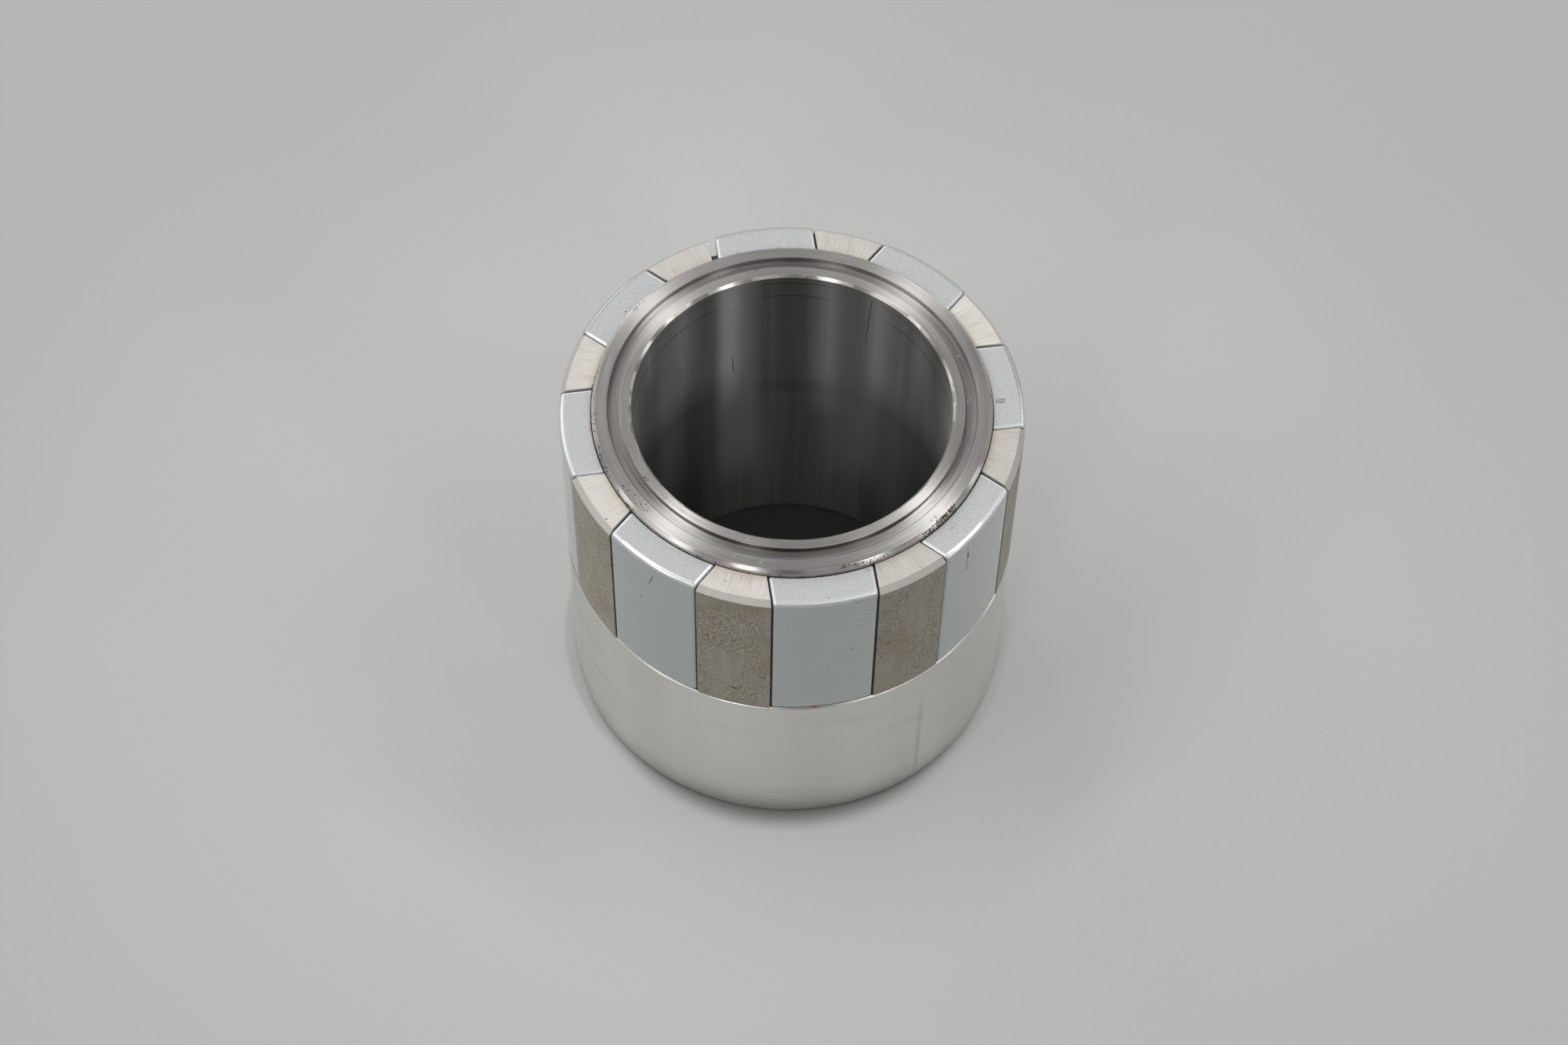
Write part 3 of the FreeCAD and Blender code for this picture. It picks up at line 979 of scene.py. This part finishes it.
class ROTOR_OT_crumbs(BuildsPiece, bpy.types.Operator):
    """Scatter crumbs of old adhesive on the end face"""

    bl_idname = "rotor.crumbs"
    bl_label = "Adhesive crumbs"

    def execute(self, context):
        mm, colours = Millimetres(context.scene.rotor_sizes), context.scene.rotor_colours
        random = np.random.default_rng(7)
        columns = [[], [], []]
        for first, last, inner, outer, count, size in CRUMBS:
            columns[0].append(random.uniform(first, last, count))
            columns[1].append(random.uniform(inner, outer, count))
            columns[2].append(size * random.uniform(0.35, 1.3, count) ** 1.5)
        direction, radius, size = (np.concatenate(column) for column in columns)
        direction = np.radians(direction)
        count = len(size)
        centre = np.stack([
            radius * np.cos(direction), radius * np.sin(direction),
            end_face_height(radius, mm) + 0.1 * size], axis=-1)

        # a lumpy ball: rings of latitude, each point's distance scattered, squashed and turned
        latitude = np.radians([-55.0, 0.0, 50.0])[:, None]
        longitude = np.linspace(0, 2 * np.pi, 6, endpoint=False)[None, :]
        ball = np.stack([
            np.cos(latitude) * np.cos(longitude), np.cos(latitude) * np.sin(longitude),
            np.sin(latitude) + 0 * longitude], axis=-1)
        lumpy = ball[None] * random.uniform(0.65, 1.35, (count, 3, 6, 1))
        stretch = np.stack([
            random.uniform(0.7, 1.8, count), random.uniform(0.5, 1.1, count),
            random.uniform(0.3, 0.6, count)], axis=-1)
        lumpy = lumpy * (stretch * size[:, None] / 1.6)[:, None, None, :]
        spin = random.uniform(0, 2 * np.pi, count)[:, None, None]
        x = lumpy[..., 0] * np.cos(spin) - lumpy[..., 1] * np.sin(spin)
        y = lumpy[..., 0] * np.sin(spin) + lumpy[..., 1] * np.cos(spin)
        balls = np.stack([x, y, lumpy[..., 2]], axis=-1) + centre[:, None, None, :]
        # crumbs on the lands are rubbed flat, level with the end face
        balls[..., 2] = np.minimum(balls[..., 2], mm.hub_height + 0.004 * lumpy[..., 2])
        crumbs = add_piece(
            "adhesive_crumbs", [closed_ends(rows) for rows in balls], crumb_material(colours))
        self.finish(crumbs, "adhesive")
        return {"FINISHED"}


# Marks, each along a line between two points given as direction, radius and height, with its
# width

def level(height, *rows):
    """Marks at one height, each from a direction and radius to another, with its width."""
    return [((a, r, height), (b, s, height), width) for a, r, b, s, width in rows]


def upright(radius, *rows):
    """Marks at one radius, each from a direction and height to another, with its width."""
    return [((a, radius, low), (b, radius, high), width) for a, low, b, high, width in rows]


# Heights of the outer land, of the groove's floor and of the magnets' ends, and radii
LAND, GROOVE, END, OUTSIDE, BORE = 52.4, 51.75, 51.5, 29.1, 20.0

BRIGHT_SCRATCHES = (
    *level(
        LAND,
        (-106.5, 24.35, -105.5, 23.05, 0.06),
        (-98.7, 24.3, -97.1, 23.05, 0.06),
        (-104.3, 21.35, -103.7, 20.6, 0.05),
    ),
    ((-87.8, 24.85, 52.15), (-87.3, 24.5, 52.4), 0.06),
    *level(
        LAND,
        (-116.2, 24.3, -114.6, 23.9, 0.04),
        (-113.0, 24.5, -112.6, 24.2, 0.05),
    ),
    *level(
        GROOVE,
        (-47.5, 22.75, -46.3, 22.35, 0.07),
        (-49.0, 22.9, -47.9, 22.6, 0.06),
        (-39.5, 22.4, -36.0, 22.25, 0.07),
        (-33.5, 22.8, -32.4, 22.45, 0.08),
        (-30.6, 22.9, -29.8, 22.6, 0.07),
        (-27.0, 22.5, -24.6, 22.55, 0.06),
        (-15.2, 22.8, -14.8, 22.3, 0.07),
        (-9.5, 22.9, -8.6, 22.7, 0.08),
        (-55.0, 22.5, -53.6, 22.45, 0.06),
        (-52.5, 22.3, -49.8, 22.2, 0.05),
        (-6.5, 22.9, -5.6, 22.3, 0.07),
        (4.2, 22.4, 5.0, 22.2, 0.08),
        (21.5, 22.6, 22.4, 22.2, 0.06),
        (2.0, 21.9, 5.0, 21.9, 0.06),
    ),
)
DARK_MARKS = (
    # bore: a score from its mouth
    *upright(
        BORE,
        (60.2, 51.9, 62.2, 40.5, 0.13),
        (113.5, 37.5, 113.0, 33.0, 0.10),
    ),
    # groove wall
    *level(
        GROOVE,
        (102.6, 21.9, 103.4, 22.1, 0.30),
    ),
    # plated magnets: outsides
    *upright(
        OUTSIDE,
        (-124.0, 49.8, -126.0, 46.8, 0.10),
        (-127.6, 43.2, -128.6, 43.0, 0.13),
        (-132.2, 45.4, -131.8, 44.9, 0.10),
        (-130.4, 47.6, -130.2, 47.2, 0.08),
        (-72.8, 46.6, -72.7, 46.2, 0.12),
        (-72.9, 45.6, -72.8, 45.3, 0.12),
        (-83.7, 46.3, -83.5, 46.0, 0.10),
        (-85.1, 45.0, -85.0, 44.8, 0.10),
        (-74.6, 40.2, -73.6, 40.1, 0.10),
        (-84.2, 34.2, -83.6, 34.0, 0.10),
        (-80.0, 37.4, -79.9, 37.2, 0.10),
        (-41.5, 50.8, -41.5, 44.0, 0.10),
        (-41.3, 48.8, -41.2, 47.6, 0.18),
        (-33.0, 50.0, -31.8, 50.2, 0.10),
    ),
    # plated magnets: scuffed upper edge of the front one
    *level(
        50.95,
        (-75.6, 29.07, -70.4, 29.07, 0.10),
    ),
    *upright(
        OUTSIDE,
        (-73.6, 50.7, -72.8, 50.4, 0.10),
        (-72.4, 50.75, -71.4, 50.6, 0.08),
    ),
    # plated magnets: tops
    *level(
        END,
        (-80.3, 28.25, -79.8, 28.4, 0.10),
        (-42.2, 26.2, -40.8, 26.45, 0.09),
        (-28.2, 28.1, -27.9, 28.0, 0.13),
        (145.6, 25.75, 146.4, 25.9, 0.14),
    ),
    # bare magnets
    *upright(
        OUTSIDE,
        (-109.8, 42.0, -109.2, 41.5, 0.22),
        (-104.8, 31.1, -101.0, 30.4, 0.16),
        (-103.6, 31.0, -102.2, 30.8, 0.18),
    ),
    *level(
        END,
        (-106.6, 26.9, -106.2, 26.7, 0.12),
        (-142.6, 28.3, -142.0, 28.1, 0.14),
    ),
)
GREY_MARKS = level(
    END,
    (3.6, 25.35, 3.7, 26.75, 0.48),
    (4.5, 25.6, 4.5, 26.8, 0.26),
)
PINK_MARKS = level(
    END,
    (-171.4, 25.25, -170.2, 25.45, 0.28),
    (-68.6, 25.4, -67.8, 25.7, 0.24),
    (106.2, 25.4, 107.6, 25.6, 0.26),
)
RED_MARKS = upright(OUTSIDE - 0.01, (-83.9, 27.52, -81.9, 27.50, 0.55))


class ROTOR_OT_marks(BuildsPiece, bpy.types.Operator):
    """Scratch and mark the surfaces as handling has"""

    bl_idname = "rotor.marks"
    bl_label = "Marks"

    def mark(self, start, end, width, seed):
        """A thin lens along a line on the surface: a flat diamond carried from end to end.

        Its width follows the square root of a parabola, so it tapers to both ends, and wanders.
        """
        k = np.linspace(0.0, 1.0, 15)[1:-1, None]
        line = np.asarray(start) * (1 - k) + np.asarray(end) * k
        direction = np.radians(line[:, :1])
        radial = np.concatenate([np.cos(direction), np.sin(direction), 0 * direction], axis=1)
        up = np.array([[0.0, 0.0, 1.0]])
        spine = radial * line[:, 1:2] + up * line[:, 2:]
        in_bore, outside = start[1] < BORE + 0.01, start[1] > OUTSIDE - 0.15
        normal = -radial if in_bore else radial if outside else up + 0 * radial
        along = np.gradient(spine, axis=0)
        along /= np.linalg.norm(along, axis=1, keepdims=True)
        side = np.cross(normal, along)
        wander = ripple(spine, 1.1, seed, octaves=3)[:, None]
        half = width / 2 * np.sqrt(1 - (2 * k - 1) ** 2) * (1 + 0.35 * wander)
        spine = spine + side * width * 0.35 * np.roll(wander, 3, axis=0)
        sunk, lift = 0.02, 0.006
        rows = np.stack([
            spine - side * half, spine - normal * sunk, spine + side * half,
            spine + normal * lift], axis=1)
        return closed_ends(rows)

    def execute(self, context):
        groups = (
            ("scratches_bright", BRIGHT_SCRATCHES, (0.85, 0.84, 0.82), 0.45, 1.0, "turned_steel"),
            ("marks_dark", DARK_MARKS, (0.045, 0.043, 0.040), 0.6, 0.0, "adhesive"),
            ("marks_red", RED_MARKS, (0.46, 0.05, 0.05), 0.6, 0.0, "adhesive"),
            ("marks_grey", GREY_MARKS, (0.38, 0.38, 0.375), 0.5, 0.0, "adhesive"),
            ("marks_pink", PINK_MARKS, (0.62, 0.38, 0.42), 0.5, 0.0, "adhesive"),
        )
        for name, marks, colour, roughness, metallic, slot in groups:
            finish = Finish(name)
            fleck = finish.noise(3000.0)
            finish.set(
                base_color=finish.blend(fleck, scaled(colour, 0.7), scaled(colour, 1.3)),
                roughness=roughness, metallic=metallic)
            lenses = [self.mark(*mark, seed) for seed, mark in enumerate(marks)]
            self.finish(add_piece(name, lenses, finish.material), slot)
        return {"FINISHED"}


# Stage

LAMP_DISTANCE = 1.8
ROOM_LIGHT = 0.03

# Name, direction round and above the rotor, width and height as seen from it and lean, all in
# degrees, and brightness
LAMPS = (
    # low windows behind the camera, which the chamfer of the end face mirrors one by one
    ("window_far_left", -173.8, 17.8, 9.0, 12.0, 0.0, 2.8),
    ("window_left", -142.0, 27.2, 9.0, 12.0, 0.0, 4.0),
    ("window_front_left", -110.4, 32.0, 9.0, 12.0, 0.0, 8.0),
    ("window_front_right", -49.6, 29.5, 9.0, 12.0, 0.0, 8.2),
    ("window_right", -20.5, 22.5, 9.0, 12.0, 0.0, 4.0),
    ("window_far_right", 8.1, 11.5, 9.0, 10.0, 0.0, 4.0),
    # long strips, which the tool lines of the end face spread into four fans
    ("strip_left", 163.3, 66.0, 6.5, 40.0, -64.8, 5.0),
    ("strip_right", 30.2, 61.9, 7.0, 40.0, 68.4, 4.0),
    ("strip_right_low", 2.7, 49.4, 10.0, 30.0, 35.5, 2.3),
    # soft boxes
    ("soft_west", -172.0, 42.0, 44.0, 22.0, 0.0, 2.0),
    ("soft_east", 0.0, 40.0, 44.0, 22.0, 0.0, 0.6),
    ("soft_south_west", -130.0, 56.0, 40.0, 18.0, 0.0, 1.7),
    ("soft_south_east", -50.0, 56.0, 40.0, 18.0, 0.0, 1.5),
    ("soft_north_west", 135.0, 28.0, 44.0, 24.0, 0.0, 2.15),
    ("soft_north", 90.0, 28.0, 44.0, 24.0, 0.0, 1.5),
    ("soft_north_east", 45.0, 28.0, 44.0, 24.0, 0.0, 1.2),
    ("soft_north_west_high", 130.0, 50.0, 34.0, 16.0, 0.0, 0.6),
    ("soft_overhead", 0.0, 88.0, 36.0, 36.0, 0.0, 0.35),
)

# The camera, fitted to the photograph: place in metres, tilt and roll in degrees, lens and
# sensor in Blender's millimetres
CAMERA_PLACE = (-0.0007, -0.2280, 0.3694)
CAMERA_TILT = 56.448
CAMERA_ROLL = 1.27
CAMERA_LENS, SENSOR_WIDTH = 72.07, 36.0
TARGET = Vector((0.0, 0.0, 0.04))


class ROTOR_OT_stage(bpy.types.Operator):
    """Lay the table, hang the lamps and set up the camera"""

    bl_idname = "rotor.stage"
    bl_label = "Stage"

    def table(self, colours):
        """A disc in rings: radius times (cos, sin) of the direction, a hair below the base."""
        angle = np.linspace(0, 2 * np.pi, 96, endpoint=False)
        radius = np.array([50.0, 200.0, 800.0, 2500.0])[::-1, None]
        level = -0.01
        rows = np.stack([
            radius * np.cos(angle), radius * np.sin(angle), level + 0 * radius * angle], axis=-1)
        disc = surface(rows, end_pole=np.array([[0.0, 0.0, level]]))
        floor = add_piece("table", [disc], table_material(colours))

    def lamp(self, name, azimuth, elevation, wide, tall, lean, brightness):
        """An area lamp that faces the rotor, as wide and tall in degrees as it is seen from there.

        Its upright edge leans to the left by some degrees, as seen from the rotor.
        """
        light = bpy.data.lights.new(name, "AREA")
        light.shape = "RECTANGLE"
        light.size = 2 * LAMP_DISTANCE * np.tan(np.radians(wide / 2))
        light.size_y = 2 * LAMP_DISTANCE * np.tan(np.radians(tall / 2))
        light.energy = brightness * np.pi * light.size * light.size_y
        lamp = bpy.data.objects.new(name, light)
        azimuth, elevation, lean = np.radians((azimuth, elevation, lean))
        towards = np.array([
            np.cos(elevation) * np.cos(azimuth), np.cos(elevation) * np.sin(azimuth),
            np.sin(elevation)])
        right = np.array([np.sin(azimuth), -np.cos(azimuth), 0.0])
        long_axis = np.cos(lean) * np.cross(right, towards) - np.sin(lean) * right
        axes = np.stack([np.cross(long_axis, towards), long_axis, towards], axis=1)
        place = Matrix.Translation(TARGET + Vector(towards * LAMP_DISTANCE))
        lamp.matrix_world = place @ Matrix(axes.tolist()).to_4x4()
        bpy.context.scene.collection.objects.link(lamp)

    def world(self, scene):
        """A dim even room."""
        world = bpy.data.worlds.new("room")
        world.use_nodes = True
        background = world.node_tree.nodes["Background"]
        background.inputs[0].default_value = (ROOM_LIGHT, ROOM_LIGHT, ROOM_LIGHT, 1.0)
        background.inputs[1].default_value = 1.0
        scene.world = world

    def camera(self, scene):
        """A camera whose axes come from its tilt and roll: it looks along (0, cos t, -sin t)."""
        tilt, roll = np.radians(CAMERA_TILT), np.radians(CAMERA_ROLL)
        back = np.array([0.0, -np.cos(tilt), np.sin(tilt)])
        up = np.array([0.0, np.sin(tilt), np.cos(tilt)])
        right = np.array([1.0, 0.0, 0.0])
        axes = np.stack([
            np.cos(roll) * right + np.sin(roll) * up,
            -np.sin(roll) * right + np.cos(roll) * up, back], axis=1)
        lens = bpy.data.cameras.new("camera")
        lens.lens, lens.sensor_width = CAMERA_LENS, SENSOR_WIDTH
        lens.clip_start, lens.clip_end = 0.01, 20.0
        camera = bpy.data.objects.new("camera", lens)
        camera.matrix_world = Matrix.Translation(CAMERA_PLACE) @ Matrix(axes.tolist()).to_4x4()
        scene.collection.objects.link(camera)
        scene.camera = camera

    def execute(self, context):
        scene = context.scene
        self.table(scene.rotor_colours)
        for lamp in LAMPS:
            self.lamp(*lamp)
        self.world(scene)
        self.camera(scene)
        scene.view_settings.view_transform = "Standard"
        return {"FINISHED"}


class ROTOR_PT_panel(bpy.types.Panel):
    """Lists the pieces of the rotor"""

    bl_idname = "ROTOR_PT_panel"
    bl_label = "Coupling rotor"
    bl_space_type = "VIEW_3D"
    bl_region_type = "UI"
    bl_category = "Rotor"

    def draw(self, context):
        scene = context.scene
        for group in (scene.rotor_sizes, scene.rotor_colours):
            box = self.layout.box()
            for name in group.__annotations__:
                box.prop(group, name)
        for operator in OPERATORS:
            self.layout.operator(operator.bl_idname)


OPERATORS = (
    ROTOR_OT_hub,
    ROTOR_OT_plated_magnets,
    ROTOR_OT_bare_magnets,
    ROTOR_OT_adhesive,
    ROTOR_OT_crumbs,
    ROTOR_OT_marks,
    ROTOR_OT_stage,
)
CLASSES = (RotorSizes, RotorColours) + OPERATORS + (ROTOR_PT_panel,)


def register():
    for cls in CLASSES:
        bpy.utils.register_class(cls)
    bpy.types.Scene.rotor_sizes = PointerProperty(type=RotorSizes)
    bpy.types.Scene.rotor_colours = PointerProperty(type=RotorColours)


def unregister():
    del bpy.types.Scene.rotor_colours
    del bpy.types.Scene.rotor_sizes
    for cls in reversed(CLASSES):
        bpy.utils.unregister_class(cls)


def main():
    """Registers the classes and builds the pieces and the stage."""
    register()
    bpy.ops.rotor.hub()
    bpy.ops.rotor.plated_magnets()
    bpy.ops.rotor.bare_magnets()
    bpy.ops.rotor.adhesive()
    bpy.ops.rotor.crumbs()
    bpy.ops.rotor.marks()
    bpy.ops.rotor.stage()


if __name__ == "__main__":
    main()
